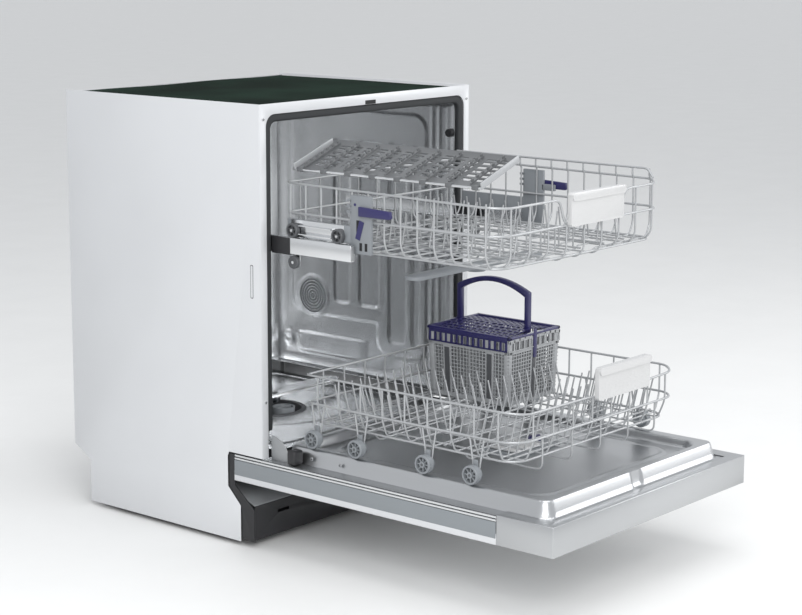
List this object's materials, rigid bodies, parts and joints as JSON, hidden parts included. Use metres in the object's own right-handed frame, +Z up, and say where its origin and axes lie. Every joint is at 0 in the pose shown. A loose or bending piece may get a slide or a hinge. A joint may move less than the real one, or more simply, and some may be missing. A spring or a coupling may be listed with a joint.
{
  "type": "built-in dishwasher",
  "caption": "Sixty centimetre built-in dishwasher with its door down and both wire racks pulled out, steel tub, cup shelf and cutlery basket.",
  "frame": {"origin": "middle of the footprint on the floor, with the lowered door inside the footprint", "axes": "+X right when facing the front, -Y the front that the door opens to, +Z up"},
  "size_m": [0.598, 1.16, 0.817],
  "materials": {
    "white_panel": "white enamelled sheet steel, semi-gloss",
    "stainless": "brushed stainless steel",
    "galvanised": "zinc coated sheet, satin",
    "black_plastic": "black moulded plastic, fine grain",
    "seal_rubber": "black sealing rubber",
    "damping_mat": "dark green-black damping felt",
    "grey_plastic": "grey moulded plastic",
    "navy_plastic": "navy moulded plastic",
    "pale_plastic": "pale silver moulded plastic",
    "coated_wire": "light grey nylon coated wire"
  },
  "bodies": {
    "cabinet": {"side_panel_left": "white_panel", "side_panel_right": "white_panel", "front_frame": "white_panel", "door_seal": "seal_rubber", "tub": "stainless", "sump": "black_plastic", "filter_cup": "grey_plastic", "vent_cover": "grey_plastic", "top_mat": "damping_mat", "rear_panel": "galvanised", "base_pan": "black_plastic", "toe_plate": "black_plastic", "sill_plate": "galvanised", "latch_socket": "black_plastic", "hinge_bracket_left": "black_plastic", "hinge_bracket_right": "black_plastic", "foot_front_left": "black_plastic", "foot_front_right": "black_plastic", "foot_rear_left": "black_plastic", "foot_rear_right": "black_plastic", "circulation_pump": "grey_plastic", "water_softener": "grey_plastic"},
    "lower_arm": {"lower_spray_arm": "stainless"},
    "ceiling_arm": {"ceiling_spray_arm": "stainless"},
    "door": {"door_panel": "white_panel", "control_fascia": "stainless", "door_liner": "stainless", "dispenser_body": "grey_plastic", "hinge_arm_left": "galvanised", "hinge_arm_right": "galvanised"},
    "soap_lid": {"dispenser_lid": "pale_plastic"},
    "rinse_cap": {"rinse_aid_cap": "navy_plastic"},
    "power_button": {"button_power": "black_plastic"},
    "start_button": {"button_start": "black_plastic"},
    "rails": {"rail_left": "stainless", "rail_right": "stainless"},
    "top_rack": {"upper_rack": "coated_wire", "carrier_left": "grey_plastic", "carrier_right": "grey_plastic", "upper_rack_handle": "pale_plastic"},
    "upper_arm": {"upper_spray_arm": "grey_plastic"},
    "lever_left": {"height_lever_left": "navy_plastic"},
    "lever_right": {"height_lever_right": "navy_plastic"},
    "shelf": {"cup_shelf": "grey_plastic"},
    "bottom_rack": {"lower_rack": "coated_wire", "lower_rack_handle": "pale_plastic"},
    "basket": {"cutlery_basket": "grey_plastic", "basket_lid": "navy_plastic"},
    "wheel_left_1_body": {"wheel_left_1": "grey_plastic"},
    "wheel_right_1_body": {"wheel_right_1": "grey_plastic"},
    "wheel_left_2_body": {"wheel_left_2": "grey_plastic"},
    "wheel_right_2_body": {"wheel_right_2": "grey_plastic"},
    "wheel_left_3_body": {"wheel_left_3": "grey_plastic"},
    "wheel_right_3_body": {"wheel_right_3": "grey_plastic"},
    "wheel_left_4_body": {"wheel_left_4": "grey_plastic"},
    "wheel_right_4_body": {"wheel_right_4": "grey_plastic"},
    "roller_rear_left_body": {"roller_rear_left": "black_plastic"},
    "roller_rear_right_body": {"roller_rear_right": "black_plastic"},
    "roller_front_left_body": {"roller_front_left": "black_plastic"},
    "roller_front_right_body": {"roller_front_right": "black_plastic"}
  },
  "joints": [
    {"name": "door_hinge", "type": "hinge", "parent": "cabinet", "child": "door", "pos_m": [0, 0.059, 0.17], "axis": [-1, 0, 0], "range_deg": [0, 0.15]},
    {"name": "soap_lid_slide", "type": "slide", "parent": "door", "child": "soap_lid", "axis": [-1, 0, 0], "range_m": [0, 0.045]},
    {"name": "rinse_cap_turn", "type": "hinge", "parent": "door", "child": "rinse_cap", "pos_m": [0.082, -0.265, 0.19], "axis": [0, 0, 1], "range_deg": [0, 90]},
    {"name": "power_button_press", "type": "slide", "parent": "door", "child": "power_button", "axis": [0, 0, 1], "range_m": [0, 0.0015], "stiffness_N_per_m": 400},
    {"name": "start_button_press", "type": "slide", "parent": "door", "child": "start_button", "axis": [0, 0, 1], "range_m": [0, 0.0015], "stiffness_N_per_m": 400},
    {"name": "lower_arm_spin", "type": "hinge", "parent": "cabinet", "child": "lower_arm", "pos_m": [0, 0.33, 0.2], "axis": [0, 0, 1], "continuous": true},
    {"name": "ceiling_arm_spin", "type": "hinge", "parent": "cabinet", "child": "ceiling_arm", "pos_m": [0, 0.315, 0.775], "axis": [0, 0, 1], "continuous": true},
    {"name": "upper_rails_slide", "type": "slide", "parent": "cabinet", "child": "rails", "axis": [0, 1, 0], "range_m": [0, 0.184]},
    {"name": "upper_rack_slide", "type": "slide", "parent": "rails", "child": "top_rack", "axis": [0, 1, 0], "range_m": [0, 0.324]},
    {"name": "upper_arm_spin", "type": "hinge", "parent": "top_rack", "child": "upper_arm", "pos_m": [0, -0.187, 0.52], "axis": [0, 0, 1], "continuous": true},
    {"name": "height_lever_left_lift", "type": "hinge", "parent": "top_rack", "child": "lever_left", "pos_m": [-0.2579, -0.133, 0.6415], "axis": [1, 0, 0], "range_deg": [0, 12], "stiffness_Nm_per_rad": 0.5},
    {"name": "height_lever_right_lift", "type": "hinge", "parent": "top_rack", "child": "lever_right", "pos_m": [0.2579, -0.133, 0.6415], "axis": [1, 0, 0], "range_deg": [0, 12], "stiffness_Nm_per_rad": 0.5},
    {"name": "cup_shelf_fold", "type": "hinge", "parent": "top_rack", "child": "shelf", "pos_m": [-0.248, -0.177, 0.698], "axis": [0, -1, 0], "range_deg": [-20, 14]},
    {"name": "lower_rack_slide", "type": "slide", "parent": "cabinet", "child": "bottom_rack", "axis": [0, 1, 0], "range_m": [0, 0.55]},
    {"name": "basket_lift", "type": "slide", "parent": "bottom_rack", "child": "basket", "axis": [0, 0, 1], "range_m": [0, 0.03]},
    {"name": "wheel_left_1_roll", "type": "hinge", "parent": "bottom_rack", "child": "wheel_left_1_body", "pos_m": [-0.2585, -0.022, 0.2185], "axis": [1, 0, 0], "range_deg": [-1950, 0]},
    {"name": "wheel_right_1_roll", "type": "hinge", "parent": "bottom_rack", "child": "wheel_right_1_body", "pos_m": [0.2585, -0.022, 0.2185], "axis": [1, 0, 0], "range_deg": [-1950, 0]},
    {"name": "wheel_left_2_roll", "type": "hinge", "parent": "bottom_rack", "child": "wheel_left_2_body", "pos_m": [-0.2585, -0.125, 0.2185], "axis": [1, 0, 0], "range_deg": [-1950, 0]},
    {"name": "wheel_right_2_roll", "type": "hinge", "parent": "bottom_rack", "child": "wheel_right_2_body", "pos_m": [0.2585, -0.125, 0.2185], "axis": [1, 0, 0], "range_deg": [-1950, 0]},
    {"name": "wheel_left_3_roll", "type": "hinge", "parent": "bottom_rack", "child": "wheel_left_3_body", "pos_m": [-0.2585, -0.279, 0.2185], "axis": [1, 0, 0], "range_deg": [-1950, 0]},
    {"name": "wheel_right_3_roll", "type": "hinge", "parent": "bottom_rack", "child": "wheel_right_3_body", "pos_m": [0.2585, -0.279, 0.2185], "axis": [1, 0, 0], "range_deg": [-1950, 0]},
    {"name": "wheel_left_4_roll", "type": "hinge", "parent": "bottom_rack", "child": "wheel_left_4_body", "pos_m": [-0.2585, -0.382, 0.2185], "axis": [1, 0, 0], "range_deg": [-1950, 0]},
    {"name": "wheel_right_4_roll", "type": "hinge", "parent": "bottom_rack", "child": "wheel_right_4_body", "pos_m": [0.2585, -0.382, 0.2185], "axis": [1, 0, 0], "range_deg": [-1950, 0]},
    {"name": "roller_rear_left_roll", "type": "hinge", "parent": "top_rack", "child": "roller_rear_left_body", "pos_m": [-0.261, 0.021, 0.5943], "axis": [1, 0, 0], "range_deg": [-1450, 0]},
    {"name": "roller_rear_right_roll", "type": "hinge", "parent": "top_rack", "child": "roller_rear_right_body", "pos_m": [0.261, 0.021, 0.5943], "axis": [1, 0, 0], "range_deg": [-1450, 0]},
    {"name": "roller_front_left_roll", "type": "hinge", "parent": "top_rack", "child": "roller_front_left_body", "pos_m": [-0.261, -0.086, 0.5943], "axis": [1, 0, 0], "range_deg": [-1450, 0]},
    {"name": "roller_front_right_roll", "type": "hinge", "parent": "top_rack", "child": "roller_front_right_body", "pos_m": [0.261, -0.086, 0.5943], "axis": [1, 0, 0], "range_deg": [-1450, 0]}
  ],
  "couplings": [
    {"joint": "wheel_left_1_roll", "follows": "lower_rack_slide", "rad_per_m": -60.606},
    {"joint": "wheel_right_1_roll", "follows": "lower_rack_slide", "rad_per_m": -60.606},
    {"joint": "wheel_left_2_roll", "follows": "lower_rack_slide", "rad_per_m": -60.606},
    {"joint": "wheel_right_2_roll", "follows": "lower_rack_slide", "rad_per_m": -60.606},
    {"joint": "wheel_left_3_roll", "follows": "lower_rack_slide", "rad_per_m": -60.606},
    {"joint": "wheel_right_3_roll", "follows": "lower_rack_slide", "rad_per_m": -60.606},
    {"joint": "wheel_left_4_roll", "follows": "lower_rack_slide", "rad_per_m": -60.606},
    {"joint": "wheel_right_4_roll", "follows": "lower_rack_slide", "rad_per_m": -60.606},
    {"joint": "roller_rear_left_roll", "follows": "upper_rack_slide", "rad_per_m": -76.923},
    {"joint": "roller_rear_right_roll", "follows": "upper_rack_slide", "rad_per_m": -76.923},
    {"joint": "roller_front_left_roll", "follows": "upper_rack_slide", "rad_per_m": -76.923},
    {"joint": "roller_front_right_roll", "follows": "upper_rack_slide", "rad_per_m": -76.923}
  ]
}
